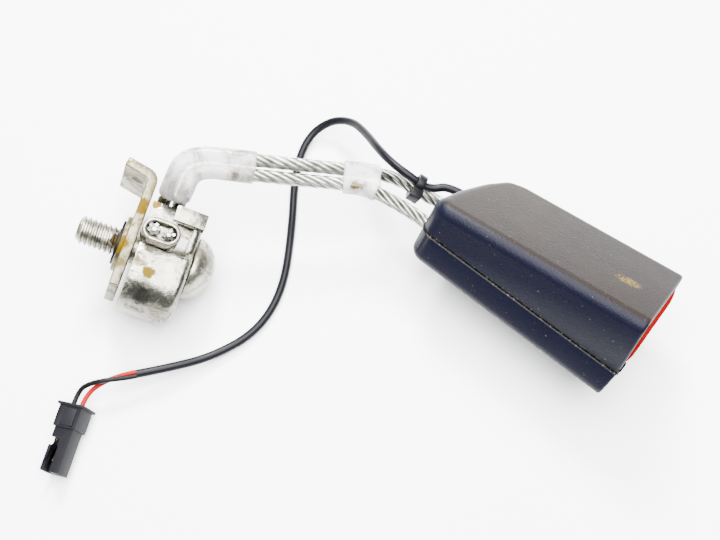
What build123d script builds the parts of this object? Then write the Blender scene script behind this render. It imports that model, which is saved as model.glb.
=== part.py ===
from build123d import *
from math import cos, pi, radians, sin, tan
import os

# A seat belt buckle head on a looped steel rope, with its anchor bracket, bolt and switch lead.
# Millimetres. It lies on a table at z = 0: the head leans on one long lower edge, and the
# bracket's edge carries the anchor end. X runs along the head, from its rear to its mouth.

middle = (3.868, -5.043)        # centre of the part's footprint, which becomes its origin

# ---- the head
head_length = 82.4          # rear wall to mouth, at the split
head_width = 42.0
lower_depth = 12.6          # split plane down to the bottom
rear_rise = 12.2            # split plane up to the top, at the rear
mouth_rise = 22.0           # the same at the mouth
mouth_lean = 1.6            # how far the mouth's top edge lies behind the split
wall = 2.2
top_edge_round = 4.6
low_edge_round = 4.0
seam_bevel = 0.35           # groove along the split
near_corner = 6.0           # plan rounding of the near rear corner
far_sweep = 17.0            # how far the far rear corner is swept forward
head_roll = 36.0            # the head leans this far over its far lower edge
head_at = (12.7, 31.4, 22.66)

# ---- tongue way and button
slot_width = 27.0
slot_low = -4.7
slot_high = 1.6
button_width = 34.8
button_top = 18.1
button_gap = 0.4
button_depth = 5.0
button_travel = 5.0
button_bulge = 1.3          # how far the button's face swells past the mouth
arm_reach = 32.0            # button's back to the ends of its arms
arm_pitch = 23.0
arm_sheet = 3.0
lock_bar_radius = 1.6

# ---- steel frame and mechanism
steel = 2.5                 # frame sheet
frame_rear = 9.0
frame_front = head_length - 8.4
frame_room = 2.3            # the cover's inner wall to the frame
frame_width = head_width - 2 * (wall + frame_room)
frame_top = 7.0
side_wall_front = frame_front - 8
pawl_pivot = (33.0, 5.0)    # along and above the split plane
side_wall_rear = pawl_pivot[0] - 7
pawl_width = 13.0
pawl_sheet = 2.2
nose_front = side_wall_front - 4
nose_tip = 1.5              # nose's lower end above the split, when free
pawl_drop = 10.0            # degrees from free to locked
pin_radius = 1.6
running_gap = 0.08
ejector_front = side_wall_front
ejector_rear = 40.0
ejector_height = 3.3
ejector_travel = 10.0
spring_wire = 0.35
ejector_spring_radius = 1.2
button_spring_radius = 2.2
button_spring_height = 12.0

# ---- rope
rope_radius = 2.4
rope_pitch = 5.2            # between the two runs where they lie side by side
rope_spread = 16.0          # between the two runs where they enter the head
loop_centre = 13.0          # the loop's saddle, along the head
loop_shift = -4.0           # the same, across the head, away from its swept corner
rope_level = -2.5           # rope's centre plane, from the split
loop_reach = 8.0            # saddle centre to the rope's far run
seat_gap = 0.3              # round the rope where the saddles carry it
rivet_radius = 2.5
washer_sheet = 0.9
sleeve_wall = 0.6
close_fit = 0.05

# ---- anchor
anchor_at = (-63.1, -49.1, 18.74)   # bolt axis at the plate's inner face
bolt_turn = 23.3            # the bolt's heading about Z
bolt_dip = 17.6             # how far its head dips below its tip
thread_radius = 5.0
thread_length = 20.0
neck_radius = 4.8           # plain neck under the retaining washer
shoulder_radius = 5.6
retainer_sheet = 0.8        # the washer that keeps the bolt with the plate
bolt_head_radius = 11.4
bolt_head_height = 8.6
bracket_reach = 20.5        # plate's inner face to the bracket leg's outer face
bracket_sheet = 3.0
bend_round = 2.4            # outer rounding between the bracket's leg and its skirt
skirt_start = 1.5
skirt_radius = 13.8
skirt_centre = -9.0
pocket_edge = -1.4          # edge of the skirt beside the ferrule
leg_front = 17.0
leg_top = 12.0
plate_sheet = 3.5
plate_back = -18.0
plate_front = 22.0
plate_half = 12.0
collar_radius = 10.0
collar_rise = 1.5
tab_length = 10.7
tab_bend = 80.0
body_gap = 0.3              # between faces of bodies that move past each other
strand_mid = 7.0            # middle of the rope pair, from the plate
ferrule_at = 3.3            # rope centre under the ferrule, up the bracket
ferrule_width = 13.4
ferrule_depth = 8.6
ferrule_low = 10.2
ferrule_high = 19.2
wrap_span = 15.8            # between the rope's two legs round the bracket's saddle
wrap_low = 4.3              # rope centre at the bottom of that wrap
wrap_exit = 17.0            # height at which the rope leaves the wrap
strap_start = 9.4
strap_low = 12.5
strap_sheet = 2.8
strap_width = 5.5

# ---- lead
lead_radius = 1.5
wire_radius = 0.7
lead_seat = (3.0, 6.5)      # across and above the split plane, where it enters the head
switch_length = 12.0
tie_width = 3.0
tie_sheet = 1.2

# ---- plug
plug_at = (-40.3, -101.1, 10.7)    # the ridge, at the wire end
plug_heading = (0.409, -0.912, 0)
plug_roll = 14.0
plug_length = 24.0
plug_width = 8.6
plug_height = 8.0
plug_collar = 8.5
plug_step = 0.7
cavity_at = 2.4             # ridge to the first wire
cavity_pitch = 3.4
cavity_height = -3.8
cavity_size = 2.2


def here(x, y, z):
    """A point of the layout, measured from the middle of the footprint."""
    return (x - middle[0], y - middle[1], z)


head_place = Location(here(*head_at)) * Location((0, 0, 0), (-head_roll, 0, 0))
anchor_turn = Location((0, 0, 0), (0, 0, bolt_turn)) * Location((0, 0, 0), (0, bolt_dip, 0))
anchor_place = Location(here(*anchor_at)) * anchor_turn
plug_plane = Plane(here(*plug_at), x_dir=plug_heading, z_dir=(0, 0, 1))
plug_place = plug_plane.location * Location((0, 0, 0), (plug_roll, 0, 0))


def on_head(plane):
    return Plane(head_place * plane.location)


def on_anchor(plane):
    return Plane(anchor_place * plane.location)


def on_plug(plane):
    return Plane(plug_place * plane.location)


def head_point(x, y, z):
    return (head_place * Location((x, y, z))).position


def anchor_point(x, y, z):
    return (anchor_place * Location((x, y, z))).position


def plug_point(x, y, z):
    return (plug_place * Location((x, y, z))).position


head_up = Axis(head_point(0, 0, 0), on_head(Plane.XY).z_dir)
head_along = Axis(head_point(0, 0, 0), on_head(Plane.YZ).z_dir)
anchor_along = Axis(anchor_point(0, 0, 0), on_anchor(Plane.YZ).z_dir)
half_width = head_width / 2
button_low = slot_high + button_gap
rope_side = rope_spread / 2
rope_room = rope_radius + seat_gap
frame_floor = rope_level - rope_room        # upper side of the frame's base
saddle_top = rope_level + rope_room


# ================================================================ housing
def top_at(x):
    """Height of the top face above the split, at x along the head."""
    return rear_rise + (mouth_rise - rear_rise) * x / head_length


def case_body(inset, corner):
    """The closed form of the head, drawn in by the inset, with its rear corner rounded."""
    side = half_width - inset
    bottom = inset - lower_depth
    front = head_length - inset
    with BuildPart() as body:
        with BuildSketch(on_head(Plane.XZ)):
            with BuildLine():
                Polyline((inset, top_at(inset) - inset), (inset, bottom), (front - mouth_lean / 2, bottom),
                         (front, 0), (front - mouth_lean, top_at(front) - inset), close=True)
            make_face()
        extrude(amount=side, both=True)
        with BuildSketch(on_head(Plane.XY.offset(-lower_depth - 1))):
            with BuildLine():
                FilletPolyline((head_length + 5, side), (far_sweep * 1.09, side),
                               (far_sweep * 0.7 + inset * 0.6, half_width * 0.885 - inset * 0.8),
                               (far_sweep * 0.41 + inset * 0.95, half_width * 0.43 - inset * 0.3),
                               (far_sweep * 0.17 + inset, -half_width * 0.19), (inset, -side),
                               (head_length + 5, -side), radius=[10, 7, 30, 30, corner])
                Line((head_length + 5, -side), (head_length + 5, side))
            make_face()
        extrude(amount=lower_depth + mouth_rise + 2, mode=Mode.INTERSECT)
    return body.part


def rounded_rim(face):
    """The edges round a face, apart from the one at the mouth."""
    return face.edges().sort_by(head_along)[:-1]


with BuildPart() as case_blank:
    add(case_body(0, near_corner))
    fillet(rounded_rim(case_blank.faces().sort_by(head_up)[-1]), top_edge_round)
    fillet(rounded_rim(case_blank.faces().sort_by(head_up)[0]), low_edge_round)

case_room = case_body(wall, near_corner - wall)


def case_half(keep, seam_index):
    """One cover: a shell with its half of the mouth, the rope's holes and the lead's hole."""
    with BuildPart() as half:
        add(case_blank.part)
        split(bisect_by=on_head(Plane.XY), keep=keep)
        chamfer(half.faces().sort_by(head_up)[seam_index].edges(), seam_bevel)
        add(case_room, mode=Mode.SUBTRACT)
        with BuildSketch(on_head(Plane.YZ.offset(head_length - 8))):
            with Locations((0, (slot_low + slot_high) / 2)):
                Rectangle(slot_width, slot_high - slot_low)
            with Locations((0, (slot_high + button_top + button_gap) / 2)):
                Rectangle(button_width + 2 * button_gap, button_top + button_gap - slot_high)
        extrude(amount=12, mode=Mode.SUBTRACT)
        with BuildSketch(on_head(Plane.YZ.offset(-3))):
            with Locations((loop_shift + rope_side, rope_level), (loop_shift - rope_side, rope_level)):
                Circle(rope_room)
            with Locations(lead_seat):
                Circle(lead_radius + seat_gap)
        extrude(amount=14, mode=Mode.SUBTRACT)
    return half.part


with BuildPart() as upper_cover:
    add(case_half(Keep.TOP, 0))
    # seat of the button's spring, down from the roof
    with BuildSketch(on_head(Plane.XY.offset(button_spring_height - 3.4))):
        with Locations((head_length - button_depth - 18, 0)):
            Rectangle(3, 10)
    extrude(amount=top_at(head_length - button_depth - 18) - wall / 2 - button_spring_height + 3.4)

with BuildPart() as lower_cover:
    add(case_half(Keep.BOTTOM, -1))
    # ribs under the steel frame
    with BuildSketch(on_head(Plane.XY.offset(frame_floor - steel))):
        with Locations(((frame_rear + side_wall_rear) / 2 + 3, 0), (side_wall_front + 1, 0)):
            Rectangle(5, 24)
    extrude(amount=frame_floor - steel + wall / 2 - lower_depth - 2 * (frame_floor - steel))

# ================================================================ steel frame and rope saddle
frame_low = frame_floor - steel
with BuildPart() as buckle_frame:
    with BuildSketch(on_head(Plane.XY.offset(frame_low))):
        with BuildLine():
            Polyline((frame_rear, 5), (frame_rear, -frame_width / 2 + 4), (frame_rear + 4, -frame_width / 2),
                     (frame_front, -frame_width / 2), (frame_front, frame_width / 2),
                     (frame_rear + 10, frame_width / 2), close=True)
        make_face()
        with Locations((nose_front - 1.8, 0)):
            Rectangle(6.6, pawl_width + 2, mode=Mode.SUBTRACT)
        with Locations((loop_centre, loop_shift)):
            Circle(rivet_radius + close_fit, mode=Mode.SUBTRACT)
    extrude(amount=steel)
    with BuildSketch(on_head(Plane.XY.offset(frame_floor))):
        with Locations(((side_wall_rear + side_wall_front) / 2, (frame_width - steel) / 2),
                       ((side_wall_rear + side_wall_front) / 2, (steel - frame_width) / 2)):
            Rectangle(side_wall_front - side_wall_rear, steel)
    extrude(amount=frame_top - frame_floor)
    # upturned tab behind the ejector's spring
    with BuildSketch(on_head(Plane.XY.offset(frame_floor))):
        with Locations((loop_centre + loop_reach + rope_room + 0.9, 0)):
            Rectangle(1.2, 6)
    extrude(amount=ejector_height + 0.3)
    with BuildSketch(on_head(Plane.XZ)):
        with Locations(pawl_pivot):
            Circle(pin_radius + close_fit)
    extrude(amount=half_width, both=True, mode=Mode.SUBTRACT)

with BuildPart() as rope_saddle:
    with BuildSketch(on_head(Plane.XY.offset(frame_floor))):
        with Locations((loop_centre, loop_shift)):
            Circle(rope_side - rope_room)
    extrude(amount=saddle_top - frame_floor)
    with BuildSketch(on_head(Plane.XY.offset(saddle_top))):
        with Locations((loop_centre, loop_shift)):
            Circle(rope_side - 1)
    extrude(amount=washer_sheet)
    with BuildSketch(on_head(Plane.XY.offset(frame_floor))):
        with Locations((loop_centre, loop_shift)):
            Circle(rivet_radius + close_fit)
    extrude(amount=saddle_top + washer_sheet - frame_floor, mode=Mode.SUBTRACT)

rivet_low = frame_low - 1
rivet_seat = saddle_top + washer_sheet
rivet_top = rivet_seat + 0.8
with BuildPart() as saddle_rivet:
    with BuildSketch(on_head(Plane.XZ.offset(-loop_shift))):
        with BuildLine():
            edge = loop_centre + rivet_radius
            Polyline((loop_centre, rivet_low), (edge + 1.5, rivet_low), (edge + 1.5, frame_low), (edge, frame_low),
                     (edge, rivet_seat), (edge + 1.5, rivet_seat), (edge + 1.5, rivet_top),
                     (loop_centre, rivet_top), close=True)
        make_face()
    revolve(axis=Axis(head_point(loop_centre, loop_shift, 0), head_up.direction))

# ================================================================ latch, ejector and button
with BuildPart() as latch_pin:
    with BuildSketch(on_head(Plane.XZ)):
        with Locations(pawl_pivot):
            Circle(pin_radius)
    extrude(amount=frame_width / 2, both=True)
    with BuildSketch(on_head(Plane.XZ.offset(frame_width / 2)), on_head(Plane.XZ.offset(-frame_width / 2 - 0.9))):
        with Locations(pawl_pivot):
            Circle(pin_radius + 1)
    extrude(amount=0.9)

with BuildPart() as latch_pawl:
    arm_top = pawl_pivot[1] + pawl_sheet + 0.4
    with BuildSketch(on_head(Plane.XZ)):
        with BuildLine():
            Polyline((pawl_pivot[0], arm_top - pawl_sheet), (nose_front - 4.5, arm_top - pawl_sheet),
                     (nose_front - 3.5, nose_tip), (nose_front, nose_tip), (nose_front + 0.5, arm_top),
                     (pawl_pivot[0], arm_top), close=True)
        make_face()
    extrude(amount=pawl_width / 2, both=True)
    with BuildSketch(on_head(Plane.XZ)):
        with Locations(pawl_pivot):
            Circle(pin_radius + 1.6)
    extrude(amount=frame_width / 2 - steel - body_gap, both=True)
    with BuildSketch(on_head(Plane.XZ)):
        with Locations(pawl_pivot):
            Circle(pin_radius + running_gap)
    extrude(amount=half_width, both=True, mode=Mode.SUBTRACT)

with BuildPart() as ejector:
    with BuildSketch(on_head(Plane.XY.offset(frame_floor + body_gap))):
        with Locations(((ejector_rear + ejector_front) / 2, 0)):
            Rectangle(ejector_front - ejector_rear, pawl_width + 11)
        with Locations((ejector_rear + 4 + (ejector_front - ejector_rear) / 2, 0)):
            Rectangle(ejector_front - ejector_rear, pawl_width + 2, mode=Mode.SUBTRACT)
    extrude(amount=ejector_height)

with BuildPart() as press_button:
    button_back = head_length - button_depth - 0.4
    with BuildSketch(on_head(Plane.XZ)):
        with BuildLine():
            Polyline((head_length - 1.9, button_top), (button_back, button_top), (button_back, button_low),
                     (head_length - 0.5, button_low))
            ThreePointArc((head_length - 0.5, button_low),
                          (head_length - 1 + button_bulge, (button_low + button_top) / 2),
                          (head_length - 1.9, button_top))
        make_face()
    extrude(amount=button_width / 2, both=True)
    fillet(press_button.faces().sort_by(head_along)[-1].edges().filter_by(on_head(Plane.YZ)), 0.8)
    with BuildSketch(on_head(Plane.XY.offset(frame_top))):
        with Locations((button_back - arm_reach / 2 + 1, arm_pitch / 2),
                       (button_back - arm_reach / 2 + 1, -arm_pitch / 2)):
            Rectangle(arm_reach + 2, arm_sheet)
    extrude(amount=5)
    with BuildSketch(on_head(Plane.XZ)):
        with Locations((button_back - arm_reach + 5, frame_top + 2.8)):
            Circle(lock_bar_radius + close_fit)
    extrude(amount=half_width, both=True, mode=Mode.SUBTRACT)

with BuildPart() as lock_bar:
    with BuildSketch(on_head(Plane.XZ)):
        with Locations((button_back - arm_reach + 5, frame_top + 2.8)):
            Circle(lock_bar_radius)
    extrude(amount=(arm_pitch + arm_sheet) / 2, both=True)


def coil(start, length, radius, turns):
    """A compression spring lying along the head, from its start."""
    with BuildPart() as spring:
        with BuildLine():
            wire = Helix((length - 2 * spring_wire) / turns, length - 2 * spring_wire, radius,
                         center=head_point(start[0] + spring_wire, start[1], start[2]), direction=head_along.direction)
        with BuildSketch(Plane(wire @ 0, z_dir=wire % 0)):
            RegularPolygon(spring_wire, 6)
        sweep()
    return spring.part


spring_stop = loop_centre + loop_reach + rope_room + 1.5
button_stop = head_length - button_depth - 16.5
ejector_middle = frame_floor + body_gap + ejector_height / 2
with BuildPart() as ejector_spring:
    add(coil((spring_stop, 0, ejector_middle), ejector_rear - spring_stop, ejector_spring_radius, 4))

with BuildPart() as button_spring:
    add(coil((button_stop, 0, button_spring_height), button_back - button_stop, button_spring_radius, 4))

# ================================================================ switch
with BuildPart() as buckle_switch:
    with BuildSketch(on_head(Plane.XY.offset(rivet_top))):
        with Locations((loop_centre - 1 + switch_length / 2, lead_seat[0])):
            Rectangle(switch_length, 9)
    extrude(amount=lead_seat[1] - rivet_top + 3)


# ================================================================ rope
def bend_radii(points):
    """Arc radii for a route, each as large as its two runs allow."""
    radii = []
    for before, corner, after in zip(points, points[1:], points[2:]):
        way_in = Vector(corner) - Vector(before)
        way_out = Vector(after) - Vector(corner)
        half_turn = radians(way_in.get_angle(way_out) / 2)
        radii.append(0.45 * min(way_in.length, way_out.length) / tan(half_turn))
    return radii


def tube(points, radii, radius):
    """A round bar along straight runs joined by tangent arcs, and the length of its route."""
    with BuildPart() as bar:
        with BuildLine() as path:
            FilletPolyline(*points, radius=radii)
        with BuildSketch(Plane(points[0], z_dir=Vector(points[1]) - Vector(points[0]))):
            Circle(radius)
        sweep()
    return bar.part, path.wire().length


def stretch(points, first, last):
    """The part of a route from the middle of one run to the middle of another, with its radii."""
    begin = (Vector(points[first]) + Vector(points[first + 1])) / 2
    end = (Vector(points[last]) + Vector(points[last + 1])) / 2
    return [begin, *points[first + 1:last + 1], end], bend_radii(points)[first:last]


strand_near = strand_mid - rope_pitch / 2
strand_far = strand_mid + rope_pitch / 2
wrap_far = ferrule_at + wrap_span
rope_end = ferrule_high - 0.5
loop_far = loop_centre + loop_reach
rope_route = [anchor_point(strand_near, ferrule_at, rope_end), anchor_point(strand_near, ferrule_at, wrap_low),
              anchor_point(strand_near, wrap_far, wrap_low), anchor_point(strand_near, wrap_far, wrap_exit),
              here(-66.2, -14.7, 36.3), here(-48.0, -2.3, 34.0), here(-21.2, 17.1, 30.1),
              here(-13.5, 22.8, 28.2), here(-6.0, 28.2, 24.75), here(5.5, 30.9, 20.7),
              head_point(-1, loop_shift + rope_side, rope_level),
              head_point(loop_far, loop_shift + rope_side, rope_level),
              head_point(loop_far, loop_shift - rope_side, rope_level),
              head_point(-1, loop_shift - rope_side, rope_level),
              here(3.5, 19.6, 28.0), here(-4.5, 18.6, 27.7), here(-11.2, 17.8, 27.2),
              here(-18.66, 13.08, 27.99), here(-45.46, -6.32, 31.9), here(-60.6, -16.2, 34.1),
              anchor_point(strand_far, wrap_far, wrap_exit), anchor_point(strand_far, wrap_far, wrap_low),
              anchor_point(strand_far, ferrule_at, wrap_low), anchor_point(strand_far, ferrule_at, rope_end)]

with BuildPart() as wire_rope:
    rope_tube, rope_length = tube(rope_route, bend_radii(rope_route), rope_radius)
    add(rope_tube)


def sleeve(first_run, last_run, begin, end):
    """A clear tube shrunk round both runs of the rope, between two planes across it."""
    lanes = [stretch(rope_route, *first_run), stretch(rope_route, *last_run)]
    skin = [tube(points, radii, rope_radius + close_fit + sleeve_wall)[0] for points, radii in lanes]
    bores = [tube(points, radii, rope_radius + close_fit)[0] for points, radii in lanes]
    with BuildPart() as cover:
        add(skin)
        split(bisect_by=begin, keep=Keep.TOP)
        split(bisect_by=end, keep=Keep.BOTTOM)
        add(bores, mode=Mode.SUBTRACT)
    return cover.part


along_rope = Vector(0.80, 0.58, -0.13)
with BuildPart() as long_sleeve:
    add(sleeve((2, 5), (17, 20), on_anchor(Plane.XY.offset(12.5)),
               Plane(here(-44.3, -2.5, 32.9), z_dir=along_rope)))

with BuildPart() as short_sleeve:
    add(sleeve((5, 8), (14, 17), Plane(here(-20.3, 15, 29.2), z_dir=along_rope),
               Plane(here(-9.5, 22.3, 26.9), z_dir=along_rope)))

# ================================================================ anchor
with BuildPart() as ferrule:
    with BuildSketch(on_anchor(Plane.XY.offset(ferrule_low))):
        with Locations((strand_mid, ferrule_at)):
            SlotOverall(ferrule_width, ferrule_depth)
        with Locations((strand_near, ferrule_at), (strand_far, ferrule_at)):
            Circle(rope_radius + close_fit, mode=Mode.SUBTRACT)
    extrude(amount=ferrule_high - ferrule_low)

saddle_middle = ferrule_at + wrap_span / 2
saddle_height = wrap_low + wrap_span / 2
saddle_radius = wrap_span / 2 - rope_room
leg_start = bracket_reach - bracket_sheet
with BuildPart() as cable_bracket:
    with BuildSketch(on_anchor(Plane.YZ.offset(leg_start))):
        with BuildLine():
            FilletPolyline((skirt_centre, skirt_radius), (pocket_edge, skirt_radius), (pocket_edge + 3, leg_top),
                           (leg_front, leg_top), (leg_front, -2), (7, -11), (-2, -skirt_radius),
                           (skirt_centre, -skirt_radius), radius=bracket_sheet)
            ThreePointArc((skirt_centre, -skirt_radius), (skirt_centre - skirt_radius, 0),
                          (skirt_centre, skirt_radius))
        make_face()
    extrude(amount=bracket_sheet)
    fillet(cable_bracket.faces().sort_by(anchor_along)[-1].edges(), bend_round)
    with BuildSketch(on_anchor(Plane.YZ.offset(skirt_start))):
        with BuildLine():
            Line((pocket_edge, skirt_radius - bracket_sheet / 2), (skirt_centre, skirt_radius - bracket_sheet / 2))
            CenterArc((skirt_centre, 0), skirt_radius - bracket_sheet / 2, 90, 150)
        trace(line_width=bracket_sheet)
    extrude(amount=bracket_reach - bend_round - skirt_start)
    # saddle that the rope is wrapped round, cut flat under the ferrule, and the strap over it
    with BuildSketch(on_anchor(Plane.YZ.offset(1))):
        with Locations((saddle_middle, saddle_height)):
            Circle(saddle_radius)
        with Locations((saddle_middle, ferrule_low - body_gap + saddle_radius)):
            Rectangle(3 * saddle_radius, 2 * saddle_radius, mode=Mode.SUBTRACT)
    extrude(amount=leg_start)
    with BuildSketch(on_anchor(Plane.XY.offset(strap_low))):
        with Locations(((strap_start + bracket_reach) / 2, saddle_middle + 1.7)):
            Rectangle(bracket_reach - strap_start, strap_width)
    extrude(amount=strap_sheet)
    with BuildSketch(on_anchor(Plane.XY.offset(leg_top - 1))):
        with Locations((bracket_reach - bracket_sheet / 2, saddle_middle + 1.7)):
            Rectangle(bracket_sheet, strap_width)
    extrude(amount=strap_low + strap_sheet - leg_top + 1)
    with BuildSketch(on_anchor(Plane.YZ)):
        Circle(shoulder_radius + 0.1)
    extrude(amount=bracket_reach + 1, mode=Mode.SUBTRACT)

plate_bend = plate_front + plate_sheet / 2
tab_way = (-sin(radians(tab_bend)), cos(radians(tab_bend)))
with BuildPart() as anchor_plate:
    with BuildSketch(on_anchor(Plane.XY.offset(-plate_half))):
        with BuildLine():
            FilletPolyline((-plate_sheet / 2, plate_back), (-plate_sheet / 2, plate_bend),
                           (-plate_sheet / 2 + tab_length * tab_way[0], plate_bend + tab_length * tab_way[1]),
                           radius=3)
        trace(line_width=plate_sheet)
    extrude(amount=2 * plate_half)
    with BuildSketch(on_anchor(Plane.YZ.offset(-plate_sheet - collar_rise))):
        Circle(collar_radius)
    extrude(amount=collar_rise)
    with BuildSketch(on_anchor(Plane.YZ.offset(-plate_sheet - collar_rise))):
        Circle(thread_radius + body_gap)
    extrude(amount=plate_sheet + collar_rise, mode=Mode.SUBTRACT)

washer_seat = plate_sheet + collar_rise + 0.1       # the retaining washer's near face
thread_start = washer_seat + retainer_sheet + 0.4
with BuildPart() as anchor_bolt:
    with BuildSketch(on_anchor(Plane.XY)):
        with BuildLine():
            rim = bracket_reach + body_gap
            Polyline((rim + bolt_head_height, 0), (-thread_length, 0), (-thread_length, thread_radius - 1),
                     (1 - thread_length, thread_radius), (-thread_start, thread_radius),
                     (-thread_start, neck_radius), (0.1, neck_radius), (0.1, shoulder_radius),
                     (rim, shoulder_radius), (rim, bolt_head_radius), (rim + 1.5, bolt_head_radius))
            ThreePointArc((rim + 1.5, bolt_head_radius), (rim + 6.3, bolt_head_radius * 0.66),
                          (rim + bolt_head_height, 0))
        make_face()
    revolve(axis=Axis(anchor_point(0, 0, 0), anchor_along.direction))
    with BuildSketch(on_anchor(Plane.YZ.offset(rim + bolt_head_height - 4))):
        RegularPolygon(4.6, 6)
    extrude(amount=5, mode=Mode.SUBTRACT)

with BuildPart() as retaining_washer:
    with BuildSketch(on_anchor(Plane.YZ.offset(-washer_seat))):
        Circle(thread_radius + 3)
        Circle(neck_radius + close_fit / 2, mode=Mode.SUBTRACT)
    extrude(amount=-retainer_sheet)

# ================================================================ lead and tie
lead_exit = head_point(-1.5, *lead_seat)
lead_end = Vector(here(-34.4, -81.1, 8))
lead_route = [head_point(loop_centre - 1, *lead_seat), lead_exit, here(5.7, 31.4, 25.3), here(-2.0, 30.0, 29.2),
              here(-8.8, 30.0, 29.0), here(-17, 32.3, 26), here(-27.5, 37.6, 18.5), here(-37, 41, 12),
              here(-45.5, 38, 6.5), here(-49, 28.5, 2.5), here(-43.5, 14.6, 1.6), here(-29.5, -3.7, 1.6),
              here(-16.5, -24, 1.6), here(-13.5, -42, 1.6), here(-19.5, -59, 2.6), here(-27, -71.5, 6.5), lead_end]
with BuildPart() as lead_sleeve:
    lead_tube, lead_length = tube(lead_route, bend_radii(lead_route), lead_radius)
    add(lead_tube)

lead_way = (lead_end - Vector(lead_route[-2])).normalized()
lead_side = lead_way.cross(Vector(0, 0, 1)).normalized() * -(wire_radius + 0.02)
wire_low = plug_point(0, -cavity_at, cavity_height)
wire_high = plug_point(0, -cavity_at - cavity_pitch, cavity_height)
red_route = [lead_end - lead_side, lead_end - lead_side + lead_way * 4, here(-41.2, -89.8, 8.0),
             plug_point(-5, -cavity_at, cavity_height), wire_low]
black_route = [lead_end + lead_side, lead_end + lead_side + lead_way * 4, here(-40.4, -89.6, 10.4),
               here(-44.6, -94.2, 9.0), plug_point(-5.5, -cavity_at - cavity_pitch, cavity_height), wire_high]
with BuildPart() as lead_red:
    red_tube, red_length = tube(red_route, bend_radii(red_route), wire_radius)
    add(red_tube)

with BuildPart() as lead_black:
    black_tube, black_length = tube(black_route, bend_radii(black_route), wire_radius)
    add(black_tube)

tie_rope = Vector(here(0.9, 29.82, 22.32))
tie_lead = Vector(here(2.2, 30.7, 26.6))
tie_reach = (tie_lead - tie_rope).length
tie_plane = Plane(tie_rope, x_dir=tie_lead - tie_rope, z_dir=Vector(11.5, 2.7, -4.05)).offset(-tie_width / 2)
with BuildPart() as cable_tie:
    with BuildSketch(tie_plane):
        Circle(rope_room + tie_sheet)
        with Locations((tie_reach, 0)):
            Circle(lead_radius + 2.5 * seat_gap + tie_sheet)
        make_hull()
    extrude(amount=tie_width)
    with BuildSketch(tie_plane):
        Circle(rope_room)
        with Locations((tie_reach, 0)):
            Circle(lead_radius + 2.5 * seat_gap)
        make_hull()
    extrude(amount=tie_width, mode=Mode.SUBTRACT)
    with BuildSketch(tie_plane.offset(-0.6)):
        with Locations((tie_reach, lead_radius + 2.5 * seat_gap + tie_sheet + 1.4)):
            Rectangle(5, 3.6)
    extrude(amount=tie_width + 1.2)

# ================================================================ plug
with BuildPart() as connector_housing:
    with BuildSketch(on_plug(Plane.YZ)):
        with Locations((-plug_width / 2, -plug_height / 2)):
            Rectangle(plug_width + 1.6, plug_height + 1.2)
    extrude(amount=0.9)
    with BuildSketch(on_plug(Plane.YZ)):
        with Locations((-plug_width / 2, -plug_height / 2)):
            Rectangle(plug_width, plug_height)
    extrude(amount=plug_collar)
    with BuildSketch(on_plug(Plane.YZ.offset(plug_collar))):
        with Locations((-plug_width / 2, -plug_height / 2)):
            Rectangle(plug_width - 2 * plug_step, plug_height - 2 * plug_step)
    extrude(amount=plug_length - plug_collar)
    with BuildSketch(on_plug(Plane.YZ)):
        with Locations((-cavity_at, cavity_height), (-cavity_at - cavity_pitch, cavity_height)):
            Rectangle(cavity_size, cavity_size)
    extrude(amount=plug_length, mode=Mode.SUBTRACT)
    with BuildSketch(on_plug(Plane.XY.offset(-1.2))):
        with Locations((plug_collar / 2 + 0.5, -plug_width / 2 + 0.4)):
            Rectangle(plug_collar - 2, plug_width - 3.3)
    extrude(amount=2, mode=Mode.SUBTRACT)

with BuildPart() as connector_lock:
    with BuildSketch(on_plug(Plane.XY.offset(-1.2))):
        with Locations((plug_collar / 2 + 0.5, -plug_width / 2 + 0.4)):
            Rectangle(plug_collar - 2.2, plug_width - 3.5)
    extrude(amount=1.5)
    fillet(connector_lock.edges().filter_by(Axis(plug_point(0, 0, 0), on_plug(Plane.XY).z_dir)), 0.4)


def terminal(across):
    """A crimped socket in its cavity, with its end against the wire."""
    with BuildPart() as socket:
        with BuildSketch(on_plug(Plane.YZ)):
            with Locations((across, cavity_height)):
                Rectangle(cavity_size - 0.1, cavity_size - 0.1)
        extrude(amount=plug_length - 4)
        with BuildSketch(on_plug(Plane.YZ.offset(plug_length - 14))):
            with Locations((across, cavity_height)):
                Rectangle(1.2, 0.8)
        extrude(amount=12, mode=Mode.SUBTRACT)
    return socket.part


with BuildPart() as terminal_red:
    add(terminal(-cavity_at))

with BuildPart() as terminal_black:
    add(terminal(-cavity_at - cavity_pitch))

pieces = {"upper_cover": upper_cover, "lower_cover": lower_cover, "buckle_frame": buckle_frame,
          "rope_saddle": rope_saddle, "saddle_rivet": saddle_rivet, "latch_pin": latch_pin,
          "latch_pawl": latch_pawl, "ejector": ejector, "ejector_spring": ejector_spring,
          "press_button": press_button, "lock_bar": lock_bar, "button_spring": button_spring,
          "buckle_switch": buckle_switch, "wire_rope": wire_rope, "long_sleeve": long_sleeve,
          "short_sleeve": short_sleeve, "ferrule": ferrule, "cable_bracket": cable_bracket,
          "anchor_plate": anchor_plate, "anchor_bolt": anchor_bolt, "retaining_washer": retaining_washer,
          "cable_tie": cable_tie, "lead_sleeve": lead_sleeve, "lead_red": lead_red, "lead_black": lead_black,
          "connector_housing": connector_housing, "connector_lock": connector_lock,
          "terminal_red": terminal_red, "terminal_black": terminal_black}
os.makedirs("parts", exist_ok=True)
for name, piece in pieces.items():
    piece.part.label = name
    export_step(piece.part, f"parts/{name}.step")

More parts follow.
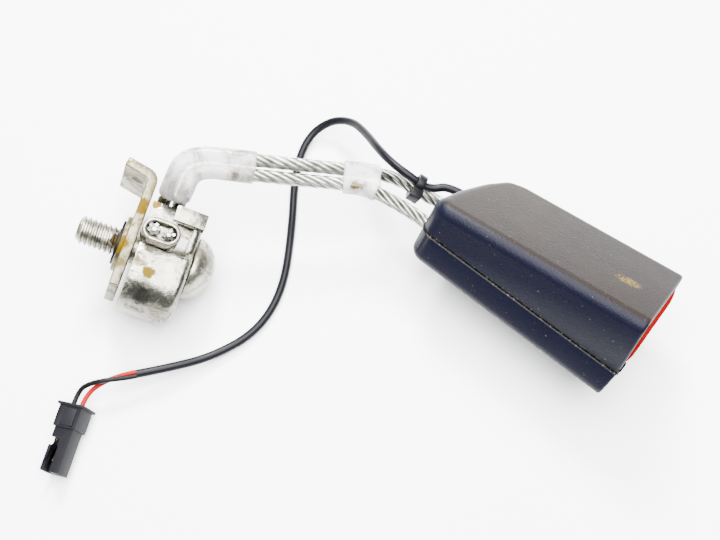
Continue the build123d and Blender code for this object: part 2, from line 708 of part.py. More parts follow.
for name, piece, route, radius, length in (
        ("wire_rope", wire_rope, rope_route, rope_radius, rope_length),
        ("lead_sleeve", lead_sleeve, lead_route, lead_radius, lead_length),
        ("lead_red", lead_red, red_route, wire_radius, red_length),
        ("lead_black", lead_black, black_route, wire_radius, black_length)):
    print(name, "radii", [round(value, 1) for value in bend_radii(route)])
    print(name, "length", round(length, 1), "volume share", round(piece.part.volume / (pi * radius ** 2 * length), 4))

whole = Compound(children=[piece.part for name, piece in pieces.items()
                           if not name.startswith(("lead", "connector", "terminal"))])
print("box", whole.bounding_box())
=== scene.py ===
import math

import bpy
from mathutils import Matrix, Vector


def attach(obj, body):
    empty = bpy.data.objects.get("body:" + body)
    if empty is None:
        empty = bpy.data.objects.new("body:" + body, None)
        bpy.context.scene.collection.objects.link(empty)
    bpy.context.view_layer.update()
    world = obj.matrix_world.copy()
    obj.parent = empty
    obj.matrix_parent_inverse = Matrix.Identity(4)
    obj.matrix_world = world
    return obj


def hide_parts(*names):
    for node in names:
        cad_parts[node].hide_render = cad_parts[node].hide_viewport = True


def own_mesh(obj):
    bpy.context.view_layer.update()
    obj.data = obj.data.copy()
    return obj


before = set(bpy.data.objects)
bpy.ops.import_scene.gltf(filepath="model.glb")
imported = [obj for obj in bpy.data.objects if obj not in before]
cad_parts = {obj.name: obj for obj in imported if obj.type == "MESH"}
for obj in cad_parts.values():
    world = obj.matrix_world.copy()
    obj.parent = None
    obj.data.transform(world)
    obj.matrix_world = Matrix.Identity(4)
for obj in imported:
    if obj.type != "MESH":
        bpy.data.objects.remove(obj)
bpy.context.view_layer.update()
bpy.ops.object.select_all(action="DESELECT")

# places and directions of the head, the anchor and the plug, shared by the pieces below
headOrigin = Vector((0.008832, 0.036443, 0.02266))
headSide = Vector((0, 0.809017, -0.587785))
headUp = Vector((0, 0.587785, 0.809017))
boltOrigin = Vector((-0.066968, -0.044057, 0.01874))
boltWay = Vector((0.875455, 0.377030, -0.302370))
boltAcross = Vector((-0.395546, 0.918446, 0))
boltUp = Vector((0.277711, 0.119601, 0.953191))
plugOrigin = Vector((-0.044168, -0.096057, 0.0107))
plugWay = Vector((0.409200, -0.912445, 0))
plugAcross = Vector((0.885341, 0.397045, 0.241922))
plugUp = Vector((-0.220740, -0.098994, 0.970296))

# camera
cameraSet = {"place": (0.083162, -0.102547, 0.3802), "target": (-0.003868, 0.005043, 0.0), "lens": 55}
bpy.ops.object.camera_add(location=cameraSet["place"])
camera = bpy.context.object
aim = Vector(cameraSet["target"]) - Vector(cameraSet["place"])
camera.rotation_euler = aim.to_track_quat("-Z", "Y").to_euler()
camera.data.lens = cameraSet["lens"]
camera.data.clip_start = 0.01
bpy.context.scene.camera = camera
print("camera placed")


# finishes
def nodeSet(name):
    finish = bpy.data.materials.new(name)
    finish.use_nodes = True
    tree = finish.node_tree
    return finish, tree, tree.nodes["Principled BSDF"]


def noiseField(tree, scale, detail=4, rough=0.55, distort=0.0):
    place = tree.nodes.new("ShaderNodeTexCoord")
    noise = tree.nodes.new("ShaderNodeTexNoise")
    noise.inputs["Scale"].default_value = scale
    noise.inputs["Detail"].default_value = detail
    noise.inputs["Roughness"].default_value = rough
    noise.inputs["Distortion"].default_value = distort
    tree.links.new(place.outputs["Object"], noise.inputs["Vector"])
    return noise.outputs["Fac"]


def ramp(tree, value, low, high, lowColour=(0, 0, 0)):
    stops = tree.nodes.new("ShaderNodeValToRGB")
    stops.color_ramp.elements[0].position = low
    stops.color_ramp.elements[1].position = high
    stops.color_ramp.elements[0].color = (*lowColour, 1)
    stops.color_ramp.elements[1].color = (1, 1, 1, 1)
    tree.links.new(value, stops.inputs["Fac"])
    return stops.outputs["Color"]


def blendColour(tree, share, first, second):
    mix = tree.nodes.new("ShaderNodeMix")
    mix.data_type = "RGBA"
    for socket, value in ((mix.inputs[6], first), (mix.inputs[7], second)):
        if isinstance(value, tuple):
            socket.default_value = (*value, 1)
        else:
            tree.links.new(value, socket)
    tree.links.new(share, mix.inputs[0])
    return mix.outputs[2]


def sums(tree, kind, first, second):
    node = tree.nodes.new("ShaderNodeMath")
    node.operation = kind
    node.use_clamp = True
    for socket, value in ((node.inputs[0], first), (node.inputs[1], second)):
        if isinstance(value, (int, float)):
            socket.default_value = value
        else:
            tree.links.new(value, socket)
    return node.outputs[0]


# 1 at a point and 0 beyond its reach
def nearPoint(tree, point, inner, outer, squeeze=(1, 1, 1)):
    place = tree.nodes.new("ShaderNodeTexCoord")
    shift = tree.nodes.new("ShaderNodeVectorMath")
    shift.operation = "SUBTRACT"
    shift.inputs[1].default_value = point
    tree.links.new(place.outputs["Object"], shift.inputs[0])
    scale = tree.nodes.new("ShaderNodeVectorMath")
    scale.operation = "MULTIPLY"
    scale.inputs[1].default_value = squeeze
    tree.links.new(shift.outputs[0], scale.inputs[0])
    size = tree.nodes.new("ShaderNodeVectorMath")
    size.operation = "LENGTH"
    tree.links.new(scale.outputs[0], size.inputs[0])
    fall = tree.nodes.new("ShaderNodeMapRange")
    fall.inputs["From Min"].default_value = outer
    fall.inputs["From Max"].default_value = inner
    tree.links.new(size.outputs["Value"], fall.inputs["Value"])
    return fall.outputs["Result"]


# 1 on a plane and 0 away from it, on either side
def nearPlane(tree, point, normal, inner, outer):
    place = tree.nodes.new("ShaderNodeTexCoord")
    shift = tree.nodes.new("ShaderNodeVectorMath")
    shift.operation = "SUBTRACT"
    shift.inputs[1].default_value = point
    tree.links.new(place.outputs["Object"], shift.inputs[0])
    dot = tree.nodes.new("ShaderNodeVectorMath")
    dot.operation = "DOT_PRODUCT"
    dot.inputs[1].default_value = normal
    tree.links.new(shift.outputs[0], dot.inputs[0])
    size = tree.nodes.new("ShaderNodeMath")
    size.operation = "ABSOLUTE"
    tree.links.new(dot.outputs["Value"], size.inputs[0])
    fall = tree.nodes.new("ShaderNodeMapRange")
    fall.inputs["From Min"].default_value = outer
    fall.inputs["From Max"].default_value = inner
    tree.links.new(size.outputs[0], fall.inputs["Value"])
    return fall.outputs["Result"]


def bumps(tree, skin, *fields):
    last = None
    for field, depth in fields:
        bump = tree.nodes.new("ShaderNodeBump")
        bump.inputs["Strength"].default_value = 1.0
        bump.inputs["Distance"].default_value = depth
        tree.links.new(field, bump.inputs["Height"])
        if last:
            tree.links.new(last, bump.inputs["Normal"])
        last = bump.outputs["Normal"]
    tree.links.new(last, skin.inputs["Normal"])


def mouldedPlastic():
    coverSet = {"dark": (0.0013, 0.0015, 0.0062), "light": (0.0028, 0.0031, 0.0088), "rough": (0.36, 0.50),
                "sheenDustTone": (0.0122, 0.0090, 0.0062), "dust": (0.055, 0.045, 0.033),
                "groove": (0.0004, 0.0004, 0.0006), "speck": (0.045, 0.042, 0.038),
                "bare": (0.115, 0.072, 0.008),
                "scuff": (0.0765, 0.0455, 0.0412), "scuffReach": 0.0085, "scuffSqueeze": (0.62, 1.15, 1.5),
                "topPoint": (0.008832, 0.043614, 0.032530), "topNormal": (-0.118, 0.584, 0.803),
                "sheen": 0.085, "grain": 1500, "grainDepth": 0.00006, "waveDepth": 0.0004}
    finish, tree, skin = nodeSet("mouldedPlastic")
    cloud = noiseField(tree, 60, 5)
    colour = blendColour(tree, cloud, coverSet["dark"], coverSet["light"])
    # the top face is painted a lighter warm grey: painted sheen of the overhead light together with dust, in
    # noisy blotches
    top = nearPlane(tree, coverSet["topPoint"], coverSet["topNormal"], 0.0001, 0.0011)
    topSheenDust = sums(tree, "MULTIPLY", top, ramp(tree, noiseField(tree, 26, 6, 0.6), 0.15, 0.75, (0.55,) * 3))
    colour = blendColour(tree, topSheenDust, colour, coverSet["sheenDustTone"])
    groove = nearPlane(tree, headOrigin, headUp, 0.00045, 0.0006)
    colour = blendColour(tree, groove, colour, coverSet["groove"])
    seam = nearPlane(tree, headOrigin, headUp, 0.0005, 0.0011)
    seamDust = sums(tree, "MULTIPLY", seam, ramp(tree, noiseField(tree, 950, 4, 0.75), 0.56, 0.63))
    colour = blendColour(tree, seamDust, colour, coverSet["dust"])
    speck = ramp(tree, noiseField(tree, 1100, 2, 0.4), 0.735, 0.76)
    colour = blendColour(tree, speck, colour, coverSet["speck"])
    patch = nearPoint(tree, coverSet["scuff"], 0.0, coverSet["scuffReach"], coverSet["scuffSqueeze"])
    torn = ramp(tree, sums(tree, "MULTIPLY", patch, noiseField(tree, 640, 8, 0.95, distort=1.2)), 0.335, 0.37)
    torn = sums(tree, "MULTIPLY", torn, ramp(tree, noiseField(tree, 900, 5, 0.8, distort=1.5), 0.49, 0.53))
    colour = blendColour(tree, torn, colour, coverSet["bare"])
    tree.links.new(colour, skin.inputs["Base Color"])
    rough = tree.nodes.new("ShaderNodeMapRange")
    rough.inputs["To Min"].default_value = coverSet["rough"][0]
    rough.inputs["To Max"].default_value = coverSet["rough"][1]
    tree.links.new(noiseField(tree, 180, 6, 0.7), rough.inputs["Value"])
    tree.links.new(rough.outputs["Result"], skin.inputs["Roughness"])
    skin.inputs["Specular IOR Level"].default_value = coverSet["sheen"]
    grain = tree.nodes.new("ShaderNodeTexVoronoi")
    grain.inputs["Scale"].default_value = coverSet["grain"]
    place = tree.nodes.new("ShaderNodeTexCoord")
    tree.links.new(place.outputs["Object"], grain.inputs["Vector"])
    bumps(tree, skin, (grain.outputs["Distance"], coverSet["grainDepth"]),
          (noiseField(tree, 30, 2), coverSet["waveDepth"]))
    return finish


def platedSteel(name, base, stain, amount, rough=(0.16, 0.34), spots=()):
    steelSet = {"dull": 0.42, "pit": (0.020, 0.015, 0.010), "stainedMetal": 0.15, "sheen": 0.05,
                "gritDepth": 0.00010, "waveDepth": 0.0011}
    finish, tree, skin = nodeSet(name)
    cloud = ramp(tree, noiseField(tree, 110, 6, 0.7, distort=0.5), 0.36, 0.62)
    dull = tuple(value * steelSet["dull"] for value in base)
    colour = blendColour(tree, cloud, dull, base)
    film = ramp(tree, noiseField(tree, 150, 7, 0.75, distort=0.9), 0.51 - amount, 0.62 - amount)
    colour = blendColour(tree, film, colour, stain)
    pit = ramp(tree, noiseField(tree, 430, 5, 0.7), 0.655 - amount * 0.3, 0.70 - amount * 0.3)
    colour = blendColour(tree, pit, colour, steelSet["pit"])
    dirt = sums(tree, "MAXIMUM", film, pit)
    for place, reach, tint in spots:
        patch = nearPoint(tree, place, 0.0, reach)
        mask = ramp(tree, sums(tree, "MULTIPLY", patch, noiseField(tree, 380, 5, 0.75)), 0.20, 0.27)
        colour = blendColour(tree, mask, colour, tint)
        dirt = sums(tree, "MAXIMUM", dirt, mask)
    tree.links.new(colour, skin.inputs["Base Color"])
    metal = tree.nodes.new("ShaderNodeMapRange")
    metal.inputs["To Min"].default_value = 1.0
    metal.inputs["To Max"].default_value = steelSet["stainedMetal"]
    tree.links.new(dirt, metal.inputs["Value"])
    tree.links.new(metal.outputs["Result"], skin.inputs["Metallic"])
    grit = tree.nodes.new("ShaderNodeMapRange")
    grit.inputs["To Min"].default_value = rough[0]
    grit.inputs["To Max"].default_value = rough[1]
    tree.links.new(noiseField(tree, 300, 5), grit.inputs["Value"])
    tree.links.new(grit.outputs["Result"], skin.inputs["Roughness"])
    skin.inputs["Specular IOR Level"].default_value = steelSet["sheen"]
    bumps(tree, skin, (noiseField(tree, 800, 5, 0.6), steelSet["gritDepth"]),
          (noiseField(tree, 75, 3), steelSet["waveDepth"]))
    return finish


def plainPlastic(name, base, rough, sheen=0.3, spread=0.5):
    grainSet = {"scale": 900, "depth": 0.00003}
    finish, tree, skin = nodeSet(name)
    light = tuple(min(1, value * (1 + spread) + 0.001) for value in base)
    colour = blendColour(tree, noiseField(tree, 220, 5, 0.6), base, light)
    tree.links.new(colour, skin.inputs["Base Color"])
    skin.inputs["Roughness"].default_value = rough
    skin.inputs["Specular IOR Level"].default_value = sheen
    bumps(tree, skin, (noiseField(tree, grainSet["scale"], 4), grainSet["depth"]))
    return finish


def clearTube():
    tubeSet = {"base": (0.96, 0.955, 0.94), "haze": (0.13, 0.095, 0.062), "grime": (0.060, 0.037, 0.009),
               "rough": 0.14, "index": 1.42, "clear": 0.55, "grimeClear": 0.05,
               "spots": [((-0.0181, 0.0198, 0.0305), 0.0062), ((-0.0160, 0.0211, 0.0303), 0.0045)]}
    finish, tree, skin = nodeSet("clearTube")
    haze = ramp(tree, noiseField(tree, 70, 6, 0.7, distort=0.7), 0.47, 0.68)
    colour = blendColour(tree, haze, tubeSet["base"], tubeSet["haze"])
    dirt = ramp(tree, noiseField(tree, 210, 7, 0.75, distort=0.8), 0.66, 0.71)
    for place, reach in tubeSet["spots"]:
        patch = nearPoint(tree, place, 0.0, reach)
        spot = ramp(tree, sums(tree, "MULTIPLY", patch, noiseField(tree, 480, 5, 0.75)), 0.20, 0.42)
        dirt = sums(tree, "MAXIMUM", dirt, spot)
    colour = blendColour(tree, dirt, colour, tubeSet["grime"])
    tree.links.new(colour, skin.inputs["Base Color"])
    skin.inputs["Roughness"].default_value = tubeSet["rough"]
    skin.inputs["IOR"].default_value = tubeSet["index"]
    clear = tree.nodes.new("ShaderNodeMapRange")
    clear.inputs["To Min"].default_value = tubeSet["clear"]
    clear.inputs["To Max"].default_value = tubeSet["grimeClear"]
    tree.links.new(dirt, clear.inputs["Value"])
    tree.links.new(clear.outputs["Result"], skin.inputs["Transmission Weight"])
    bumps(tree, skin, (noiseField(tree, 160, 3), 0.0004), (noiseField(tree, 700, 3), 0.00005))
    return finish


coverFinish = mouldedPlastic()
yellow, amber, brown = (0.070, 0.044, 0.0), (0.074, 0.042, 0.0), (0.022, 0.014, 0.004)
zincFinish = platedSteel("zincPlate", (0.30, 0.295, 0.245), (0.085, 0.070, 0.034), -0.03, (0.16, 0.34),
                         [((-0.0525, -0.0490, 0.0296), 0.0042, yellow),
                          ((-0.0683, -0.0283, 0.0275), 0.0035, amber)])
plateFinish = platedSteel("stainedPlate", (0.19, 0.172, 0.118), (0.075, 0.056, 0.015), 0.03, (0.25, 0.5),
                          [((-0.0664, -0.0473, 0.0289), 0.0065, yellow),
                           ((-0.0708, -0.0329, 0.0311), 0.0060, amber),
                           ((-0.0811, -0.0252, 0.0245), 0.0040, brown)])
boltFinish = platedSteel("boltZinc", (0.36, 0.345, 0.285), (0.080, 0.060, 0.026), -0.03, (0.2, 0.4),
                         [((-0.0707, -0.0465, 0.0251), 0.0050, brown)])
frameFinish = platedSteel("frameSteel", (0.45, 0.44, 0.40), (0.05, 0.04, 0.02), -0.08)
ropeFinish = platedSteel("ropeWire", (0.38, 0.38, 0.34), (0.06, 0.055, 0.035), -0.06, (0.22, 0.38))
leadFinish = plainPlastic("leadSkin", (0.0022, 0.0023, 0.0035), 0.34, 0.10)
redWire = plainPlastic("redWire", (0.20, 0.0012, 0.0012), 0.4, 0.08, 0.2)
blackWire = plainPlastic("blackWire", (0.0028, 0.0028, 0.0035), 0.4, 0.08)
redButton = plainPlastic("redButton", (0.17, 0.0014, 0.0012), 0.55, 0.0, 0.2)
plugFinish = plainPlastic("plugPlastic", (0.0045, 0.0043, 0.0058), 0.5, 0.09)
palePlastic = plainPlastic("palePlastic", (0.62, 0.60, 0.54), 0.5)
tieFinish = plainPlastic("tieNylon", (0.0022, 0.0022, 0.0028), 0.4, 0.10)
tinFinish = platedSteel("tinnedBrass", (0.6, 0.5, 0.3), (0.1, 0.07, 0.03), -0.08)
tubeFinish = clearTube()
finishes = {"upper_cover": coverFinish, "lower_cover": coverFinish, "buckle_frame": frameFinish,
            "rope_saddle": frameFinish, "saddle_rivet": frameFinish, "latch_pin": frameFinish,
            "latch_pawl": frameFinish, "ejector": palePlastic, "ejector_spring": frameFinish,
            "press_button": redButton, "lock_bar": frameFinish, "button_spring": frameFinish,
            "buckle_switch": palePlastic, "wire_rope": ropeFinish, "long_sleeve": tubeFinish,
            "short_sleeve": tubeFinish, "ferrule": zincFinish, "cable_bracket": zincFinish,
            "anchor_plate": plateFinish, "anchor_bolt": boltFinish, "retaining_washer": tieFinish,
            "cable_tie": tieFinish, "lead_sleeve": leadFinish, "lead_red": redWire, "lead_black": blackWire,
            "connector_housing": plugFinish, "connector_lock": plugFinish,
            "terminal_red": tinFinish, "terminal_black": tinFinish}
for node, finish in finishes.items():
    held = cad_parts[node].data.materials
    held.clear()
    held.append(finish)
print("finishes set")


# cords
leadSet = {"radius": 0.0015, "wireRadius": 0.00085}
leadRoute = [
    (0.02083, 0.04269, 0.02616), (0.00733, 0.04269, 0.02616), (0.00183, 0.03644, 0.02530),
    (-0.00587, 0.03504, 0.02920), (-0.01267, 0.03504, 0.02900), (-0.02087, 0.03734, 0.02600),
    (-0.03137, 0.04264, 0.01850), (-0.04087, 0.04604, 0.01200), (-0.04937, 0.04304, 0.00650),
    (-0.05287, 0.03354, 0.00250), (-0.04737, 0.01964, 0.00160), (-0.03337, 0.00134, 0.00160),
    (-0.02037, -0.01896, 0.00160), (-0.01737, -0.03696, 0.00160), (-0.02337, -0.05396, 0.00260),
    (-0.03087, -0.06646, 0.00650), (-0.03827, -0.07606, 0.00800),
]
redRoute = [
    (-0.03884, -0.07562, 0.00800), (-0.04126, -0.07876, 0.00849), (-0.04507, -0.08476, 0.00800),
    (-0.04750, -0.09207, 0.00643), (-0.04545, -0.09663, 0.00643),
]
blackRoute = [
    (-0.03770, -0.07650, 0.00800), (-0.04012, -0.07964, 0.00849), (-0.04427, -0.08456, 0.01040),
    (-0.04847, -0.08916, 0.00900), (-0.05071, -0.09297, 0.00561), (-0.04846, -0.09798, 0.00561),
]


def routeCurve(name, points, radius, finish=None):
    curve = bpy.data.curves.new(name, "CURVE")
    curve.dimensions = "3D"
    curve.resolution_u = 16
    curve.bevel_depth = radius
    curve.bevel_resolution = 6
    curve.use_fill_caps = radius > 0
    line = curve.splines.new("NURBS")
    line.points.add(len(points) - 1)
    for point, place in zip(line.points, points):
        point.co = (*place, 1)
    line.order_u = 3
    line.use_endpoint_u = True
    piece = bpy.data.objects.new(name, curve)
    bpy.context.collection.objects.link(piece)
    if finish:
        curve.materials.append(finish)
    return piece


def routePoints(points):
    bare = routeCurve("routeLine", points, 0)
    mesh = bpy.data.meshes.new_from_object(bare)
    found = [vertex.co.copy() for vertex in mesh.vertices]
    bpy.data.objects.remove(bare)
    bpy.data.meshes.remove(mesh)
    return found


def lengthOf(points):
    return sum((b - a).length for a, b in zip(points, points[1:]))


leadPiece = routeCurve("switchLead", leadRoute, leadSet["radius"], leadFinish)
redPiece = routeCurve("redConductor", redRoute, leadSet["wireRadius"], redWire)
blackPiece = routeCurve("blackConductor", blackRoute, leadSet["wireRadius"], blackWire)
for piece, node, material in ((leadPiece, "lead_sleeve", "lead_black_skin"),
                              (redPiece, "lead_red", "wire_red_skin"),
                              (blackPiece, "lead_black", "lead_black_skin")):
    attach(piece, "buckle")
    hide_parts(node)
print("lead laid")


# laid rope
ropeRoute = [
    (-0.05923, -0.03713, 0.03523), (-0.06323, -0.03885, 0.02151), (-0.06948, -0.02434, 0.02151),
    (-0.06595, -0.02282, 0.03361), (-0.07007, -0.00966, 0.03630), (-0.05187, 0.00274, 0.03400),
    (-0.02507, 0.02214, 0.03010), (-0.01737, 0.02784, 0.02820), (-0.00987, 0.03324, 0.02475),
    (0.00163, 0.03594, 0.02070), (0.00783, 0.03821, 0.01829), (0.02983, 0.03821, 0.01829),
    (0.02983, 0.02527, 0.02769), (0.00783, 0.02527, 0.02769), (-0.00037, 0.02464, 0.02800),
    (-0.00837, 0.02364, 0.02770), (-0.01507, 0.02284, 0.02720), (-0.02253, 0.01812, 0.02799),
    (-0.04933, -0.00128, 0.03190), (-0.06447, -0.01116, 0.03410), (-0.06140, -0.02086, 0.03204),
    (-0.06492, -0.02238, 0.01994), (-0.05867, -0.03689, 0.01994), (-0.05468, -0.03517, 0.03366),
]


# the same line, with its points one step apart
def evenly(points, step):
    out = [points[0].copy()]
    left = step
    for a, b in zip(points, points[1:]):
        run = (b - a).length
        done = 0.0
        while run - done >= left:
            done += left
            out.append(a.lerp(b, done / run))
            left = step
        left -= run - done
    return out


# two directions across the line at each point, carried along it without a twist
def carriedSides(points):
    side = (points[1] - points[0]).orthogonal().normalized()
    sides = []
    for index, point in enumerate(points):
        ahead = points[min(index + 1, len(points) - 1)] - points[max(index - 1, 0)]
        ahead.normalize()
        side = (side - ahead * side.dot(ahead)).normalized()
        sides.append((side.copy(), ahead.cross(side)))
    return sides


def laidRope(name, points, finish):
    ropeSet = {"strands": 6, "strandRadius": 0.00077, "layRadius": 0.00160, "layLength": 0.025,
               "step": 0.0012}
    path = evenly(points, ropeSet["step"])
    sides = carriedSides(path)
    curve = bpy.data.curves.new(name, "CURVE")
    curve.dimensions = "3D"
    curve.bevel_depth = ropeSet["strandRadius"]
    curve.bevel_resolution = 2
    curve.use_fill_caps = True
    for strand in range(ropeSet["strands"]):
        line = curve.splines.new("POLY")
        line.points.add(len(path) - 1)
        for index, (place, (across, over)) in enumerate(zip(path, sides)):
            along = index * ropeSet["step"] / ropeSet["layLength"]
            turn = 2 * math.pi * (strand / ropeSet["strands"] + along)
            where = place + (across * math.cos(turn) + over * math.sin(turn)) * ropeSet["layRadius"]
            line.points[index].co = (*where, 1)
    core = curve.splines.new("POLY")
    core.points.add(len(path) - 1)
    for index, place in enumerate(path):
        core.points[index].co = (*place, 1)
    piece = bpy.data.objects.new(name, curve)
    bpy.context.collection.objects.link(piece)
    bpy.context.view_layer.objects.active = piece
    piece.select_set(True)
    bpy.ops.object.convert(target="MESH")
    piece = bpy.context.object
    piece.data.materials.append(finish)
    bpy.ops.object.shade_smooth()
    piece.select_set(False)
    return piece


ropeLine = routePoints(ropeRoute)
ropePiece = laidRope("laidRope", ropeLine, ropeFinish)
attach(ropePiece, "buckle")
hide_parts("wire_rope")
print("rope laid")


# clear tubes shrunk over the pair of runs
def shrunkTube(name, node, points, keep, radius, finish):
    shrinkSet = {"step": 0.0008, "webs": (0.25, 0.5, 0.75), "webPoints": 60, "voxel": 0.0004, "relax": 0.6,
                 "relaxTurns": 14}
    curve = bpy.data.curves.new(name, "CURVE")
    curve.dimensions = "3D"
    curve.bevel_depth = radius
    curve.bevel_resolution = 6
    curve.use_fill_caps = True
    runs = []
    current = []
    for place in evenly(points, shrinkSet["step"]):
        if keep(place):
            current.append(place)
        elif current:
            runs.append(current)
            current = []
    first, second = runs[0], runs[-1][::-1]
    for share in shrinkSet["webs"]:     # the tube bridges the gap between the two runs
        web = []
        for index in range(shrinkSet["webPoints"]):
            here = index / (shrinkSet["webPoints"] - 1)
            one = first[round(here * (len(first) - 1))]
            other = second[round(here * (len(second) - 1))]
            web.append(one.lerp(other, share))
        runs.append(web)
    for run in runs:
        line = curve.splines.new("POLY")
        line.points.add(len(run) - 1)
        for index, place in enumerate(run):
            line.points[index].co = (*place, 1)
    piece = bpy.data.objects.new(name, curve)
    bpy.context.collection.objects.link(piece)
    bpy.context.view_layer.objects.active = piece
    piece.select_set(True)
    bpy.ops.object.convert(target="MESH")
    piece = bpy.context.object
    voxel = piece.modifiers.new("Remesh", "REMESH")
    voxel.mode = "VOXEL"
    voxel.voxel_size = shrinkSet["voxel"]
    relax = piece.modifiers.new("Smooth", "SMOOTH")
    relax.factor = shrinkSet["relax"]
    relax.iterations = shrinkSet["relaxTurns"]
    for step in ("Remesh", "Smooth"):
        bpy.ops.object.modifier_apply(modifier=step)
    piece.data.materials.clear()
    piece.data.materials.append(finish)
    bpy.ops.object.shade_smooth()
    piece.select_set(False)
    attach(piece, "buckle")
    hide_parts(node)


# the tubes' radii, and where they start and end along the rope
longRadius, shortRadius = 0.00325, 0.0033
alongRope = Vector((0.80, 0.58, -0.13)).normalized()
longEnd = Vector((-0.048168, 0.002543, 0.0329))
longLow, longSide = 0.0125, 0.0112
shortStart = Vector((-0.024168, 0.020043, 0.0292))
shortEnd = Vector((-0.013368, 0.027343, 0.0269))


def inLong(place):
    local = place - boltOrigin
    clearOfWrap = local.dot(boltUp) > longLow and local.dot(boltAcross) > longSide
    return clearOfWrap and (place - longEnd).dot(alongRope) < 0


def inShort(place):
    return (place - shortStart).dot(alongRope) > 0 and (place - shortEnd).dot(alongRope) < 0


shrunkTube("longTube", "long_sleeve", ropeLine, inLong, longRadius, tubeFinish)
shrunkTube("shortTube", "short_sleeve", ropeLine, inShort, shortRadius, tubeFinish)
print("tubes shrunk")


# anchor bolt, with its thread
def lathed(name, profile, steps=64, rise=0.0, turns=1):
    mesh = bpy.data.meshes.new(name)
    mesh.from_pydata([(radius, 0, height) for radius, height in profile],
                     [(index, index + 1) for index in range(len(profile) - 1)], [])
    piece = bpy.data.objects.new(name, mesh)
    bpy.context.collection.objects.link(piece)
    bpy.context.view_layer.objects.active = piece
    piece.select_set(True)
    screw = piece.modifiers.new("Screw", "SCREW")
    screw.steps = steps
    screw.render_steps = steps
    screw.screw_offset = rise
    screw.iterations = turns
    screw.use_merge_vertices = True
    screw.merge_threshold = 0.00001
    screw.use_normal_calculate = True
    bpy.ops.object.modifier_apply(modifier="Screw")
    return piece


# lays a piece made at the origin where it belongs, with its normals outward
def settle(piece, origin, xWay, yWay, zWay):
    place = Matrix((xWay, yWay, zWay)).transposed().to_4x4()
    place.translation = origin
    piece.matrix_world = place
    bpy.context.view_layer.objects.active = piece
    bpy.ops.object.transform_apply(location=True, rotation=True, scale=True)
    bpy.ops.object.mode_set(mode="EDIT")
    bpy.ops.mesh.select_all(action="SELECT")
    bpy.ops.mesh.remove_doubles(threshold=0.000005)
    bpy.ops.mesh.normals_make_consistent(inside=False)
    bpy.ops.object.mode_set(mode="OBJECT")
    bpy.ops.object.shade_smooth_by_angle(angle=math.radians(32))
    piece.select_set(False)


boltSet = {"crest": 0.0050, "root": 0.0042, "pitch": 0.0018, "turns": 10, "tip": -0.020, "headStart": 0.0208,
           "shoulder": 0.0056}
flank = boltSet["root"] + 0.0001
thread = lathed("boltThread", [(boltSet["root"], 0), (flank, boltSet["pitch"] * 0.15),
                               (boltSet["crest"], boltSet["pitch"] * 0.45),
                               (boltSet["crest"], boltSet["pitch"] * 0.62),
                               (flank, boltSet["pitch"] * 0.9), (boltSet["root"], boltSet["pitch"])],
                48, boltSet["pitch"], boltSet["turns"])
settle(thread, boltOrigin + boltWay * (boltSet["tip"] + 0.0002), boltAcross, boltUp, boltWay)
shank = lathed("boltBody", [(0, boltSet["tip"]), (0.0034, boltSet["tip"]), (0.0043, -0.0190),
                            (0.0043, 0.0001), (boltSet["shoulder"], 0.0001),
                            (boltSet["shoulder"], boltSet["headStart"]), (0.0110, boltSet["headStart"]),
                            (0.0114, 0.0212), (0.0114, 0.0221), (0.0108, 0.0239), (0.0094, 0.0259),
                            (0.0074, 0.0277), (0.0050, 0.0289), (0.0044, 0.0292), (0.0040, 0.0290),
                            (0.0038, 0.0262), (0, 0.0258)])
settle(shank, boltOrigin, boltAcross, boltUp, boltWay)
for piece in (thread, shank):
    piece.data.materials.append(boltFinish)
    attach(piece, "bolt")
    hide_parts("anchor_bolt")
print("bolt turned")

# crimped ferrule
ferruleSet = {"width": 0.0134, "depth": 0.0086, "low": 0.0102, "high": 0.0192, "wall": 0.0016, "cup": 0.0026,
              "middle": (0.0070, 0.0033), "rim": 0.0007}
bpy.ops.mesh.primitive_cylinder_add(vertices=48, radius=ferruleSet["depth"] / 2,
                                    depth=ferruleSet["high"] - ferruleSet["low"],
                                    location=(0, 0, (ferruleSet["high"] + ferruleSet["low"]) / 2))
ferrule = bpy.context.object
ferrule.name = "crimpFerrule"
bpy.ops.object.transform_apply(location=True)
halfRun = (ferruleSet["width"] - ferruleSet["depth"]) / 2       # draws the round out to an oval
for vertex in ferrule.data.vertices:
    vertex.co.x += halfRun if vertex.co.x >= 0 else -halfRun
bpy.ops.object.mode_set(mode="EDIT")
bpy.ops.mesh.select_all(action="DESELECT")
bpy.ops.object.mode_set(mode="OBJECT")
for face in ferrule.data.polygons:
    face.select = face.normal.z > 0.9
bpy.ops.object.mode_set(mode="EDIT")
bpy.ops.mesh.inset(thickness=ferruleSet["wall"])
bpy.ops.mesh.extrude_region_move(TRANSFORM_OT_translate={"value": (0, 0, -ferruleSet["cup"])})
bpy.ops.object.mode_set(mode="OBJECT")
rim = ferrule.modifiers.new("Rim", "BEVEL")
rim.width = ferruleSet["rim"]
rim.segments = 4
rim.limit_method = "ANGLE"
rim.angle_limit = math.radians(50)
bpy.ops.object.modifier_apply(modifier="Rim")
settle(ferrule, boltOrigin + boltWay * ferruleSet["middle"][0] + boltAcross * ferruleSet["middle"][1],
       boltWay, boltAcross, boltUp)
ferrule.data.materials.append(zincFinish)
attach(ferrule, "buckle")
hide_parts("ferrule")
print("ferrule crimped")


